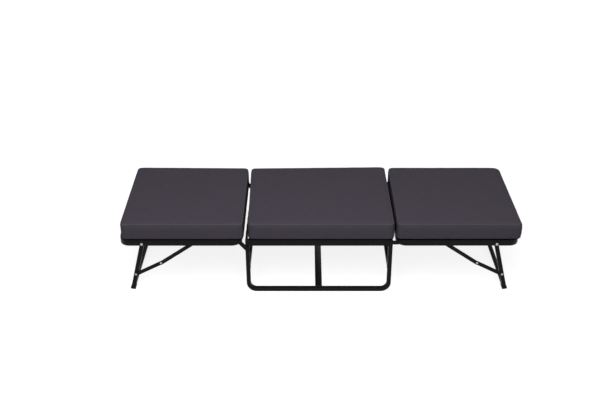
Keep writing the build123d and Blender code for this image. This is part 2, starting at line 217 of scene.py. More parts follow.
def shade_between(tree, factor, first, second):
    """A colour between two colours or sockets, by a factor."""
    mix = tree.nodes.new("ShaderNodeMix")
    mix.data_type = "RGBA"
    set_or_link(tree, mix.inputs[6], first)
    set_or_link(tree, mix.inputs[7], second)
    link(tree, factor, mix.inputs[0])
    return mix.outputs[2]


def bumped(tree, height, distance, strength=1.0):
    """A normal from a height, which stands for that distance."""
    bump = tree.nodes.new("ShaderNodeBump")
    bump.inputs["Strength"].default_value = strength
    bump.inputs["Distance"].default_value = distance
    link(tree, height, bump.inputs["Height"])
    return bump.outputs[0]


def new_finish(name):
    """A fresh material with one Principled shader, and its tree."""
    finish = bpy.data.materials.new(name)
    finish.use_nodes = True
    return finish, finish.node_tree, finish.node_tree.nodes["Principled BSDF"]


powder_coat, coat_tree, coat_shader = new_finish("powder_coat")
cloud = noise_of(coat_tree, coat_cloud, detail=4)
pebble = noise_of(coat_tree, coat_pebble)
link(coat_tree, shade_between(coat_tree, cloud, coat_dark, coat_light), coat_shader.inputs["Base Color"])
link(coat_tree, spread(coat_tree, cloud, *coat_roughness), coat_shader.inputs["Roughness"])
link(coat_tree, bumped(coat_tree, pebble, coat_pebble_height), coat_shader.inputs["Normal"])
coat_shader.inputs["Specular IOR Level"].default_value = coat_gloss

tube_edge = 1.6 * MM
flat_edge = 0.8 * MM
edge_steps = 3
sharp_over = radians(35)
flat_under = radians(0.5)
same_point = 0.002 * MM


def smooth_faces(mesh):
    for face in mesh.polygons:
        face.use_smooth = True


def finished(node, finish, edge):
    """Rounds the edges of a CAD node by its modifiers and gives it its finish."""
    piece = frame["nodes"][node]
    smooth_faces(piece.data)
    weld = piece.modifiers.new("weld", "WELD")
    weld.merge_threshold = same_point
    flat = piece.modifiers.new("flat", "DECIMATE")
    flat.decimate_type = "DISSOLVE"
    flat.angle_limit = flat_under
    soft = piece.modifiers.new("soft", "BEVEL")
    soft.width = edge
    soft.segments = edge_steps
    soft.limit_method = "ANGLE"
    soft.angle_limit = sharp_over
    soft.use_clamp_overlap = False
    soft.harden_normals = True
    piece.material_slots[0].material = finish
    return piece


for node in ("front_base_loop", "rear_base_loop", "left_stretcher", "right_stretcher"):
    finished(node, powder_coat, tube_edge)
for node in ("front_seat_rail", "rear_seat_rail", "left_side_rail", "right_side_rail", "floor_bar"):
    finished(node, powder_coat, flat_edge)

# Weld beads of the stool
# Each rail, stretcher and bar ends against a loop and is welded round its end.
# The ripples of the bead are painted over with the rest of the frame.
bead_size = 1.5 * MM
bead_pitch = 1.3 * MM
bead_height = 0.8
rail_weld_stop = 1.0
tube_weld_stop = 2.0


def node_tree(name, inputs):
    """An empty Geometry Nodes tree with named inputs, given as (name, socket type, value)."""
    tree = bpy.data.node_groups.new(name, "GeometryNodeTree")
    tree.is_modifier = True
    tree.interface.new_socket("Geometry", in_out="INPUT", socket_type="NodeSocketGeometry")
    tree.interface.new_socket("Geometry", in_out="OUTPUT", socket_type="NodeSocketGeometry")
    for label, kind, value in inputs:
        socket = tree.interface.new_socket(label, in_out="INPUT", socket_type=kind)
        if value is not None:
            socket.default_value = value
    start = tree.nodes.new("NodeGroupInput")
    end = tree.nodes.new("NodeGroupOutput")
    return tree, start.outputs, end.inputs[0]


def set_finish_and_end(tree, start, instances, end):
    """The end that every tree shares: instances made real, and their finish."""
    real = tree.nodes.new("GeometryNodeRealizeInstances")
    paint = tree.nodes.new("GeometryNodeSetMaterial")
    link(tree, instances, real.inputs[0])
    link(tree, real.outputs[0], paint.inputs["Geometry"])
    link(tree, start["Finish"], paint.inputs["Material"])
    link(tree, paint.outputs[0], end)


bead_tree, start, end = node_tree(
    "weld_bead",
    (
        ("Size", "NodeSocketFloat", bead_size),
        ("Pitch", "NodeSocketFloat", bead_pitch),
        ("Finish", "NodeSocketMaterial", None),
    ),
)
seam = bead_tree.nodes.new("GeometryNodeMeshToCurve")
steps = bead_tree.nodes.new("GeometryNodeResampleCurve")
steps.mode = "LENGTH"
ripple = bead_tree.nodes.new("GeometryNodeMeshIcoSphere")
ripple.inputs["Subdivisions"].default_value = 2
on_seam = bead_tree.nodes.new("GeometryNodeInstanceOnPoints")
heading = bead_tree.nodes.new("GeometryNodeInputTangent")
along = bead_tree.nodes.new("FunctionNodeAlignRotationToVector")
along.axis = "Z"
flatten = bead_tree.nodes.new("ShaderNodeCombineXYZ")
flatten.inputs["X"].default_value = 1.0
flatten.inputs["Y"].default_value = 1.0
flatten.inputs["Z"].default_value = bead_height
link(bead_tree, start["Geometry"], seam.inputs["Mesh"])
link(bead_tree, seam.outputs[0], steps.inputs["Curve"])
link(bead_tree, start["Pitch"], steps.inputs["Length"])
link(bead_tree, start["Size"], ripple.inputs["Radius"])
link(bead_tree, steps.outputs[0], on_seam.inputs["Points"])
link(bead_tree, ripple.outputs["Mesh"], on_seam.inputs["Instance"])
link(bead_tree, heading.outputs[0], along.inputs["Vector"])
link(bead_tree, along.outputs[0], on_seam.inputs["Rotation"])
link(bead_tree, flatten.outputs[0], on_seam.inputs["Scale"])
set_finish_and_end(bead_tree, start, on_seam.outputs[0], end)


def grown(name, tree, mesh, values):
    """The plain mesh that a Geometry Nodes tree makes of a mesh, as a new piece."""
    seed = bpy.data.objects.new(name + "_seed", mesh)
    bpy.context.scene.collection.objects.link(seed)
    nodes = seed.modifiers.new("grow", "NODES")
    nodes.node_group = tree
    sockets = {item.name: item.identifier for item in tree.interface.items_tree if item.in_out == "INPUT"}
    for label, value in values.items():
        nodes[sockets[label]] = value
    graph = bpy.context.evaluated_depsgraph_get()
    result = bpy.data.meshes.new_from_object(seed.evaluated_get(graph))
    bpy.data.objects.remove(seed)
    piece = bpy.data.objects.new(name, result)
    bpy.context.scene.collection.objects.link(piece)
    return piece


def paths_mesh(name, paths):
    """Open polylines, in millimetres, as the edges of one mesh."""
    points = []
    edges = []
    for path in paths:
        edges += [(len(points) + i, len(points) + i + 1) for i in range(len(path) - 1)]
        points += [Vector(point) * MM for point in path]
    mesh = bpy.data.meshes.new(name)
    mesh.from_pydata(points, edges, [])
    return mesh


def mirrored(paths, x=1, y=1):
    """The mirror image of paths, where x or y is -1."""
    return [[(x * px, y * py, pz) for px, py, pz in path] for path in paths]


def four_ways(paths):
    """Paths at the right front, and their mirror images at the other three corners."""
    return [path for x in (1, -1) for y in (1, -1) for path in mirrored(paths, x, y)]


def weld_piece(name, body, paths):
    """Weld beads along paths, as one piece of a body."""
    piece = grown(name, bead_tree, paths_mesh(name, paths), {"Finish": powder_coat})
    smooth_faces(piece.data)
    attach(piece, body)


def box_mm(node):
    """The low and the high corner of a CAD node's box, in millimetres."""
    low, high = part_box(node)
    return low / MM, high / MM


rail_low, rail_high = box_mm("front_seat_rail")
side_low, side_high = box_mm("right_side_rail")
stretcher_low, stretcher_high = box_mm("right_stretcher")
bar_low, bar_high = box_mm("floor_bar")
stool_welds = four_ways(
    [
        [
            (rail_high.x, rail_high.y, rail_high.z),
            (rail_high.x, rail_high.y, rail_low.z),
            (rail_high.x, rail_low.y + rail_weld_stop, rail_low.z),
        ],
        [
            (side_low.x, side_low.y, side_high.z),
            (side_low.x, side_low.y, side_low.z),
            (side_high.x - rail_weld_stop, side_low.y, side_low.z),
        ],
        [
            (stretcher_low.x, stretcher_low.y, stretcher_low.z),
            (stretcher_high.x - tube_weld_stop, stretcher_low.y, stretcher_low.z),
        ],
        [
            (stretcher_low.x, stretcher_low.y, stretcher_low.z),
            (stretcher_low.x, stretcher_low.y, stretcher_high.z),
            (stretcher_high.x - tube_weld_stop, stretcher_low.y, stretcher_high.z),
        ],
    ]
)
bar_weld = [[(bar_low.x, bar_low.y, bar_high.z), (bar_high.x, bar_low.y, bar_high.z)]]
stool_welds += bar_weld + mirrored(bar_weld, y=-1)
weld_piece("stool_welds", "stool", stool_welds)

# Hinge plates
# A flat plate is welded to the outside of each stool leg and carries the hinge bolt of its section:
# the left pair slopes down to the legs, the right pair lies level with their tops.
plate_edge = 0.7 * MM
plate_weld_steps = 12
joint_at = {joint["name"]: Vector(joint["pos_m"]) for joint in frame["joints"]}

plate_welds = []
for side, s in (("left", -1), ("right", 1)):
    node = f"{side}_front_hinge_plate"
    plate_low, plate_high = box_mm(node)
    pivot = joint_at[f"{side}_section_fold"] / MM
    round_end = min(plate_high.x - pivot.x, pivot.x - plate_low.x)
    far_x = plate_high.x if s < 0 else plate_low.x
    root = Vector((far_x + s * round_end, 0, min(pivot.z, plate_low.z + round_end)))
    facing = (root - Vector((pivot.x, 0, pivot.z))).normalized()
    across = Vector((facing.z, 0, -facing.x))
    arc = []
    for i in range(plate_weld_steps + 1):
        angle = pi * i / plate_weld_steps
        point = root + (across * cos(angle) + facing * sin(angle)) * round_end
        arc.append((point.x, plate_high.y, point.z))
    plate_welds.append(arc)
    finished(node, powder_coat, plate_edge)
    finished(node.replace("front", "rear"), powder_coat, plate_edge)
weld_piece("hinge_plate_welds", "stool", plate_welds + mirrored(plate_welds, y=-1))

# Section frames
# Flat tube is bent to a ring with round corners, seen from above, and closed by a weld.
# Two ears at its inner corners take the hinge bolts.
rail_thick = 10.0
ear_length = 43.0
ear_end_half = 9.0
ear_weld_from = 16.0
ear_weld_length = 24.0
ear_weld_drop = 10.0
ear_weld_start_y = 4.0
ear_weld_end_y = 1.0

for side, s in (("right", 1), ("left", -1)):
    finished(f"{side}_ring_frame", powder_coat, flat_edge)
    ring_front = box_mm(f"{side}_ring_frame")[0].y
    pivot = joint_at[f"{side}_section_fold"] / MM
    ear_end = pivot.x + s * ear_length
    ear_welds = [
        [
            (ear_end, ring_front + rail_thick, pivot.z + ear_end_half),
            (ear_end, ring_front + rail_thick, pivot.z - ear_end_half),
        ],
        [
            (pivot.x + s * ear_weld_from, ring_front + ear_weld_start_y, pivot.z - ear_weld_drop),
            (
                pivot.x + s * (ear_weld_from + ear_weld_length),
                ring_front + ear_weld_end_y,
                pivot.z - ear_weld_drop,
            ),
        ],
    ]
    weld_piece(f"{side}_ring_welds", f"{side}_section", ear_welds + mirrored(ear_welds, y=-1))

# Slats
# Flat tube runs the length of each section and lies on its end rails, held by a tack weld at each edge.
# They are painted with the frame.
slat_edge = 1.2 * MM
slat_width = 30.0
slat_count = 8
tack_length = 7.0
tack_inset = 1.0
tack_size = 1.2 * MM


def slat_tacks(node, body):
    """A short bead at both edges of every slat, over each end rail."""
    low, high = box_mm(node)
    pitch = (high.y - low.y - slat_width) / (slat_count - 1)
    paths = []
    for i in range(slat_count):
        for edge in (low.y + i * pitch, low.y + i * pitch + slat_width):
            for end in (low.x + tack_inset, high.x - tack_length - tack_inset):
                paths.append([(end, edge, low.z), (end + tack_length, edge, low.z)])
    piece = grown(
        node + "_tacks", bead_tree, paths_mesh(node, paths), {"Finish": powder_coat, "Size": tack_size}
    )
    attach(piece, body)


for node, body in (
    ("middle_slats", "stool"),
    ("right_slats", "right_section"),
    ("left_slats", "left_section"),
):
    finished(node, powder_coat, slat_edge)
    slat_tacks(node, body)

# Folding legs
# Two square tubes and a floor tube are welded to a frame that folds up under the section.
# A spacer on the pivot bolt holds the leg off the rail.
leg_tube = 20.0
leg_weld_half = 9.0

for side, s in (("right", 1), ("left", -1)):
    finished(f"{side}_leg_frame", powder_coat, tube_edge)
    finished(f"{side}_leg_spacers", powder_coat, plate_edge)
    glide_low, glide_high = box_mm(f"{side}_floor_glides")
    top = joint_at[f"{side}_leg_fold"] / MM
    foot = Vector(((glide_low.x + glide_high.x) / 2, 0, glide_high.z))
    down = (foot - Vector((top.x, 0, top.z))).normalized()
    out = Vector((-down.z, 0, down.x)) * s
    inner_y = box_mm(f"{side}_leg_frame")[0].y + leg_tube
    corner = foot - down * (leg_tube / 2)
    ends = [corner + out * reach for reach in (-leg_weld_half, leg_weld_half)]
    corner_weld = [[tuple(point + Vector((0, inner_y, 0))) for point in ends]]
    weld_piece(f"{side}_leg_welds", f"{side}_leg", corner_weld + mirrored(corner_weld, y=-1))

# Caps and glides
# Black moulded plastic: a cap is pressed into the top of each leg tube, and a glide is clipped under each
# end of the floor tube to save the floor.
plastic_dark = (0.010, 0.010, 0.011, 1)
plastic_light = (0.016, 0.016, 0.017, 1)
plastic_roughness = (0.5, 0.62)
plastic_gloss = 0.35
plastic_grain = 0.6 * MM
plastic_grain_height = 0.02 * MM
plastic_cloud = 12 * MM
plastic_edge = 0.5 * MM

moulded, plastic_tree, plastic_shader = new_finish("moulded_plastic")
grain = noise_of(plastic_tree, plastic_grain)
bloom = noise_of(plastic_tree, plastic_cloud, detail=3)
plastic_shade = shade_between(plastic_tree, bloom, plastic_dark, plastic_light)
link(plastic_tree, plastic_shade, plastic_shader.inputs["Base Color"])
link(plastic_tree, spread(plastic_tree, bloom, *plastic_roughness), plastic_shader.inputs["Roughness"])
link(plastic_tree, bumped(plastic_tree, grain, plastic_grain_height), plastic_shader.inputs["Normal"])
plastic_shader.inputs["Specular IOR Level"].default_value = plastic_gloss

for side in ("right", "left"):
    for part in ("leg_caps", "floor_glides"):
        piece = finished(f"{side}_{part}", moulded, plastic_edge)

# Locking stays
# Each leg is held open by two flat bars that meet at a rivet and go over centre.
# They are stamped from strip, with the edges rolled a little.
stay_edge = 0.5 * MM

for side in ("right", "left"):
    for end in ("front", "rear"):
        for link_part in ("stay_upper", "stay_lower"):
            finished(f"{side}_{end}_{link_part}", powder_coat, stay_edge)

# Bolts, nuts and rivets
# Zinc-plated steel: button-head bolts with a hexagon socket and a locking nut, and domed rivets; the hinge
# bolts are painted with the frame instead.
# Each is turned or pressed, so it is drawn as rings from its front end to its back end.
zinc_dark = (0.30, 0.30, 0.31, 1)
zinc_light = (0.52, 0.52, 0.53, 1)
zinc_roughness = (0.28, 0.42)
zinc_metallic = 0.9
spangle_size = 2.2 * MM
scratch_size = 0.5 * MM
scratch_stretch = (1, 0.15, 1)
scratch_height = 0.02 * MM
rivet_edge = 0.3 * MM
ring_corners = 48
ring_sharp_over = radians(32)

# The sizes of the bolts and of the rivets, in millimetres.
Bolt = namedtuple("Bolt", "head_radius head_thick shank_radius grip nut_radius nut_thick")
hinge_bolt = Bolt(7, 3.5, 4, 9.8, 6.5, 5)
leg_pivot_bolt = Bolt(7, 3.5, 4, 38.3, 6.5, 5)
stay_bolt = Bolt(5.5, 1.8, 3, 23.0, 6.5, 5)
rivet_radius = 5.5
rivet_thick = 1.6
rivet_pin_radius = 2.5
rivet_pin_end = 4.1

zinc, zinc_tree, zinc_shader = new_finish("zinc_plate")
spangle = noise_of(zinc_tree, spangle_size, detail=3)
scratch = noise_of(zinc_tree, scratch_size, detail=1, stretch=scratch_stretch)
link(zinc_tree, shade_between(zinc_tree, spangle, zinc_dark, zinc_light), zinc_shader.inputs["Base Color"])
link(zinc_tree, spread(zinc_tree, spangle, *zinc_roughness), zinc_shader.inputs["Roughness"])
link(zinc_tree, bumped(zinc_tree, scratch, scratch_height), zinc_shader.inputs["Normal"])
zinc_shader.inputs["Metallic"].default_value = zinc_metallic


def ring_mesh(name, rings):
    """A closed solid through rings along Y, each (y, radius, "round" or "hexagon"), in millimetres."""
    build = bmesh.new()
    loops = []
    for y, radius, shape in rings:
        loop = []
        for i in range(ring_corners):
            angle = 2 * pi * i / ring_corners
            reach = radius
            if shape == "hexagon":
                reach = radius * cos(pi / 6) / cos((angle + pi / 6) % (pi / 3) - pi / 6)
            loop.append(build.verts.new(Vector((reach * cos(angle), y, reach * sin(angle))) * MM))
        loops.append(loop)
    for first, second in zip(loops, loops[1:]):
        for i in range(ring_corners):
            j = (i + 1) % ring_corners
            build.faces.new((first[i], first[j], second[j], second[i]))
    build.faces.new(loops[0])
    build.faces.new(loops[-1])
    bmesh.ops.recalc_face_normals(build, faces=build.faces)
    mesh = bpy.data.meshes.new(name)
    build.to_mesh(mesh)
    build.free()
    smooth_faces(mesh)
    mesh.set_sharp_from_angle(angle=ring_sharp_over)
    return mesh


def dome(radius, thick, flat_share, steps=5):
    """The rings of a domed head from its flat crown out to its rim."""
    flat = radius * flat_share
    rings = []
    for i in range(steps + 1):
        angle = pi / 2 * i / steps
        rings.append((thick * 0.8 * (1 - cos(angle)), flat + (radius - flat) * sin(angle), "round"))
    return rings + [(thick, radius, "round")]


def button_bolt(bolt):
    """The rings of a bolt from the floor of its socket, over its head and shank, to its nut and its end."""
    socket = bolt.head_radius * 0.42
    depth = bolt.head_thick * 0.6
    shank = bolt.shank_radius
    seat = bolt.head_thick + bolt.grip
    hexagon = seat + bolt.nut_thick * 0.78
    end_face = seat + bolt.nut_thick
    thread_end = seat + bolt.nut_thick * 0.9
    return [
        (depth, socket * 0.3, "hexagon"),
        (depth, socket, "hexagon"),
        (0.15, socket, "hexagon"),
        (0.0, socket * 1.12, "round"),
        *dome(bolt.head_radius, bolt.head_thick, 0.52),
        (bolt.head_thick, shank, "round"),
        (seat, shank, "round"),
        (seat, bolt.nut_radius * 0.9, "round"),
        (seat + 0.4, bolt.nut_radius * 1.08, "hexagon"),
        (hexagon - 0.5, bolt.nut_radius * 1.08, "hexagon"),
        (hexagon, bolt.nut_radius * 0.88, "round"),
        (seat + bolt.nut_thick * 0.95, bolt.nut_radius * 0.8, "round"),
        (end_face, bolt.nut_radius * 0.72, "round"),
        (end_face, shank * 0.98, "round"),
        (thread_end, shank * 0.9, "round"),
        (thread_end, shank * 0.2, "round"),
    ]


copies_tree, start, end = node_tree(
    "copies_at_points",
    (("Fastener", "NodeSocketObject", None), ("Finish", "NodeSocketMaterial", None)),
)
master = copies_tree.nodes.new("GeometryNodeObjectInfo")
turn_of = copies_tree.nodes.new("GeometryNodeInputNamedAttribute")
turn_of.data_type = "FLOAT_VECTOR"
turn_of.inputs["Name"].default_value = "turn"
at_points = copies_tree.nodes.new("GeometryNodeInstanceOnPoints")
link(copies_tree, start["Fastener"], master.inputs["Object"])
link(copies_tree, start["Geometry"], at_points.inputs["Points"])
link(copies_tree, master.outputs["Geometry"], at_points.inputs["Instance"])
link(copies_tree, turn_of.outputs["Attribute"], at_points.inputs["Rotation"])
set_finish_and_end(copies_tree, start, at_points.outputs[0], end)


def fastener_pair(node, body, at, rings, finish=zinc):
    """A fastener at the front and its copy turned half round at the rear, in place of a CAD node."""
    master_object = bpy.data.objects.new(node + "_master", ring_mesh(node, rings))
    bpy.context.scene.collection.objects.link(master_object)
    front_y = box_mm(node)[0].y
    points = bpy.data.meshes.new(node)
    points.from_pydata([(at.x, front_y * MM, at.z), (at.x, -front_y * MM, at.z)], [], [])
    turns = points.attributes.new("turn", "FLOAT_VECTOR", "POINT")
    turns.data[0].vector = (0, 0, 0)
    turns.data[1].vector = (0, 0, pi)
    piece = grown(node + "_fitted", copies_tree, points, {"Fastener": master_object, "Finish": finish})
    bpy.data.objects.remove(master_object)
    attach(piece, body)
    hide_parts(node)


rivet_rings = [
    (0, 0.6, "round"),
    *dome(rivet_radius, rivet_thick, 0.3),
    (rivet_thick, rivet_pin_radius, "round"),
    (rivet_pin_end, rivet_pin_radius, "round"),
]

for side in ("right", "left"):
    fastener_pair(
        f"{side}_hinge_bolts",
        "stool",
        joint_at[f"{side}_section_fold"],
        button_bolt(hinge_bolt),
        powder_coat,
    )
    fastener_pair(
        f"{side}_leg_pivot_bolts",
        f"{side}_section",
        joint_at[f"{side}_leg_fold"],
        button_bolt(leg_pivot_bolt),
    )
    fastener_pair(
        f"{side}_stay_leg_bolts",
        f"{side}_leg",
        joint_at[f"{side}_stay_lower_fold"],
        button_bolt(stay_bolt),
    )
    rivet_low, rivet_high = box_mm(f"{side}_stay_rivet_heads")
    rivet_middle = (rivet_low + rivet_high) / 2 * MM
    fastener_pair(f"{side}_stay_rivet_heads", f"{side}_stay_upper", rivet_middle, rivet_rings)
    for part in ("stay_rail_rivets", "stay_rivet_tails"):
        piece = finished(f"{side}_{part}", zinc, rivet_edge)

# Cushions
# A foam block in a boxed cover of dark woven cloth: a top panel, a side band and a base. Below a set height
# the cloth is painted near-black, as painted shade along the cushion's lower edge.
# The cover is a little full, so it crowns between the seams and draws in where it is sewn.
yarn = 1.15 * MM
cloth_deep = (0.055, 0.0475, 0.0615, 1)
cloth_mid = (0.0725, 0.0625, 0.080, 1)
cloth_pale = (0.0925, 0.081, 0.101, 1)
cloth_roughness = (0.84, 0.94)
cloth_gloss = 0.03
yarn_height = 0.22 * MM
yarn_strength = 0.7
slub_size = 1.6 * MM
slub_stretch = 0.05
fade_size = 160 * MM
fade_shares = (0.35, 0.6)
facing_power = 4.0
# Painted shade: the cloth is near-black below this height, along the cushion's lower edge.
painted_base_shade = (0.008, 0.008, 0.009, 1)
painted_shade_top = 304.5 * MM

cloth, cloth_tree, cloth_shader = new_finish("woven_cloth")
cloth_place = cloth_tree.nodes.new("ShaderNodeTexCoord")
axes = cloth_tree.nodes.new("ShaderNodeSeparateXYZ")
link(cloth_tree, cloth_place.outputs["Object"], axes.inputs[0])
facing_axes = cloth_tree.nodes.new("ShaderNodeSeparateXYZ")
link(cloth_tree, cloth_place.outputs["Normal"], facing_axes.inputs[0])
yarn_turn = 2 * pi / yarn
yarns = [
    do_math(cloth_tree, "SINE", do_math(cloth_tree, "MULTIPLY", axes.outputs[i], yarn_turn)) for i in range(3)
]
weave = None
for i in range(3):
    first, second = [yarns[k] for k in range(3) if k != i]
    crossing = do_math(cloth_tree, "MULTIPLY", first, second)
    facing_share = do_math(cloth_tree, "ABSOLUTE", facing_axes.outputs[i])
    weight = do_math(cloth_tree, "POWER", facing_share, facing_power)
    part = do_math(cloth_tree, "MULTIPLY", crossing, weight)
    weave = part if weave is None else do_math(cloth_tree, "ADD", weave, part)
slub_x = noise_of(cloth_tree, slub_size, detail=2, stretch=(slub_stretch, 1, 1))
slub_y = noise_of(cloth_tree, slub_size, detail=2, stretch=(1, slub_stretch, 1))
slubs = do_math(cloth_tree, "MULTIPLY", do_math(cloth_tree, "ADD", slub_x, slub_y), 0.5)
fade = noise_of(cloth_tree, fade_size, detail=3)
slubbed = shade_between(cloth_tree, spread(cloth_tree, slubs, 0.0, 1.0), cloth_deep, cloth_pale)
faded = shade_between(cloth_tree, spread(cloth_tree, fade, *fade_shares), slubbed, cloth_mid)
# Painted shade: the near-black lower edge of the cover.
below_painted_shade = do_math(cloth_tree, "LESS_THAN", axes.outputs[2], painted_shade_top)
cloth_shade = shade_between(cloth_tree, below_painted_shade, faded, painted_base_shade)
link(cloth_tree, cloth_shade, cloth_shader.inputs["Base Color"])
cloth_height = do_math(cloth_tree, "ADD", do_math(cloth_tree, "MULTIPLY", weave, 0.5), slubs)
link(cloth_tree, bumped(cloth_tree, cloth_height, yarn_height, yarn_strength), cloth_shader.inputs["Normal"])
link(cloth_tree, spread(cloth_tree, slubs, *cloth_roughness), cloth_shader.inputs["Roughness"])
cloth_shader.inputs["Specular IOR Level"].default_value = cloth_gloss

corner_radius = 24 * MM
swell_reach = 70 * MM
top_radius = 15 * MM
base_radius = 6 * MM
cover_crown = 2.0 * MM
margin_lines = [step * MM for step in (0, 4, 8, 12, 17, 24, 34)]
cloth_pitch = 12 * MM
cover_swell = 1.2 * MM
cover_pressure = 4.0
cover_frames = 20
cover_quality = 5
cover_mass = 0.3
cover_stretching = 20
cover_shearing = 8
cover_bending = 0.6
seam_hold = 8 * MM
base_hold = 2 * MM
pucker_height = 0.7 * MM
pucker_reach = 22 * MM
pucker_size = 26 * MM
rumple_height = 0.9 * MM
rumple_size = 150 * MM
sag_from = 248 * MM
sag_run = 36 * MM
sag_height = 50 * MM

# The corners of each cushion from above, in millimetres, as it lies in the photo, how far its margins sag,
# how far its right side swells, and how round its rear right corner is.
Lie = namedtuple("Lie", "node body front_left front_right back_left back_right sag swell rear_round")
cushion_front = -302.5
cushion_lies = (
    Lie(
        "left_cushion", "left_section",
        (-943.5, cushion_front), (-360.5, cushion_front), (-955, 303.5), (-365, 294), 5.0, 0, 24,
    ),
    Lie(
        "middle_cushion", "stool",
        (-336, cushion_front), (357, cushion_front), (-353, 292.5), (355.5, 306), 5.0, 0, 24,
    ),
    Lie(
        "right_cushion", "right_section",
        (369, cushion_front), (955, cushion_front), (372.5, 298), (957, 297), 1.0, 7, 40,
    ),
)


def bake_modifiers(piece):
    """Gives a piece the mesh that its modifiers make, and drops them and its vertex groups."""
    graph = bpy.context.evaluated_depsgraph_get()
    mesh = bpy.data.meshes.new_from_object(piece.evaluated_get(graph))
    piece.modifiers.clear()
    piece.vertex_groups.clear()
    old = piece.data
    piece.data = mesh
    bpy.data.meshes.remove(old)


def inflate(piece, held):
    """Cloth simulation with air pressure, the seam points held, and no point further than the swell."""
    start_places = [v.co.copy() for v in piece.data.vertices]
    group = piece.vertex_groups.new(name="seams")
    group.add(held, 1.0, "REPLACE")
    cloth_modifier = piece.modifiers.new("air", "CLOTH")
    settings = cloth_modifier.settings
    settings.quality = cover_quality
    settings.mass = cover_mass
    settings.tension_stiffness = cover_stretching
    settings.compression_stiffness = cover_stretching
    settings.shear_stiffness = cover_shearing
    settings.bending_stiffness = cover_bending
    settings.use_pressure = True
    settings.uniform_pressure_force = cover_pressure
    settings.effector_weights.gravity = 0
    settings.vertex_group_mass = "seams"
    cloth_modifier.point_cache.frame_end = cover_frames
    for step in range(1, cover_frames + 1):
        bpy.context.scene.frame_set(step)
    bake_modifiers(piece)
    bpy.context.scene.frame_set(1)
    for vertex, place in zip(piece.data.vertices, start_places):
        way = vertex.co - place
        if way.length > cover_swell:
            vertex.co = place + way.normalized() * cover_swell


def laid(lie, x, y):
    """The place of a share of the width and of the depth of a cushion, seen from above."""
    front = Vector(lie.front_left).lerp(Vector(lie.front_right), x)
    back = Vector(lie.back_left).lerp(Vector(lie.back_right), x)
    return front.lerp(back, y) * MM


def mean_size(lie):
    """Width and depth of a cushion, as the mean of its opposite sides."""
    front_left, front_right = laid(lie, 0, 0), laid(lie, 1, 0)
    back_left, back_right = laid(lie, 0, 1), laid(lie, 1, 1)
    width = ((front_right - front_left).length + (back_right - back_left).length) / 2
    depth = ((back_left - front_left).length + (back_right - front_right).length) / 2
    return width, depth


def shares_of(lie, place):
    """The shares of width and depth that a place has, the other way round from laid."""
    spot = place / MM
    front = lie.front_left[1]
    y = (spot.y - front) / ((lie.back_left[1] + lie.back_right[1]) / 2 - front)
    left = lie.front_left[0] + (lie.back_left[0] - lie.front_left[0]) * y
    right = lie.front_right[0] + (lie.back_right[0] - lie.front_right[0]) * y
    return (spot.x - left) / (right - left), y


def grid_lines(length):
    """Places of the grid lines along a panel, close together near its edges."""
    inner = length - 2 * margin_lines[-1]
    count = max(1, round(inner / cloth_pitch))
    middle = [margin_lines[-1] + inner * i / count for i in range(1, count)]
    return margin_lines + middle + [length - step for step in reversed(margin_lines)]


def panel_box(size):
    """The panels of a cover as one grid of quads on a sharp box of that size."""
    lines = [grid_lines(length) for length in size]
    build = bmesh.new()
    corners = {}
    for axis in range(3):
        first, second = [n for n in range(3) if n != axis]
        for end in (0, len(lines[axis]) - 1):
            for i in range(len(lines[first]) - 1):
                for j in range(len(lines[second]) - 1):
                    quad = []
                    for step_i, step_j in ((0, 0), (1, 0), (1, 1), (0, 1)):
                        key = [end, end, end]
                        key[first] = i + step_i
                        key[second] = j + step_j
                        key = tuple(key)
                        if key not in corners:
                            corners[key] = build.verts.new([lines[n][key[n]] for n in range(3)])
                        quad.append(corners[key])
                    build.faces.new(quad)
    bmesh.ops.recalc_face_normals(build, faces=build.faces)
    return build


def rounded(place, size, lie):
    """A point of a sharp box of that size, drawn in to the round corners and the rounded edges of a cover."""
    at_rear_right = place.x > size.x / 2 and place.y > size.y / 2
    corner = lie.rear_round * MM if at_rear_right else corner_radius
    core = Vector([min(max(place[i], corner), size[i] - corner) for i in range(2)])
    out = place.xy - core
    reach = max(abs(out.x), abs(out.y))
    inset = corner - reach
    radius = base_radius + (top_radius - base_radius) * place.z / size.z
    middle = Vector((max(inset, radius), min(max(place.z, radius), size.z - radius)))
    edge = middle + (Vector((inset, place.z)) - middle).normalized() * radius
    return Vector((*(core + out.normalized() * (corner - edge.x if reach > 0 else 0)), edge.y))


def seam_distance(x, y, z, size):
    """How far a point is from the nearer of the two seams, over the surface, from its place in the box."""
    inward = min(x, size.x - x, y, size.y - y)
    return max(0.0, inward) + max(0.0, min(z, size.z - z))


def sagged(place, low, sag):
    """A point of a cushion whose front and rear margins sag off the outer slats on to the rails."""
    over = min(1.0, max(0.0, (abs(place.y) - sag_from) / sag_run))
    near_base = max(0.0, 1 - (place.z - low.z) / sag_height)
    return Vector((place.x, place.y, place.z - sag * over * over * (3 - 2 * over) * near_base))


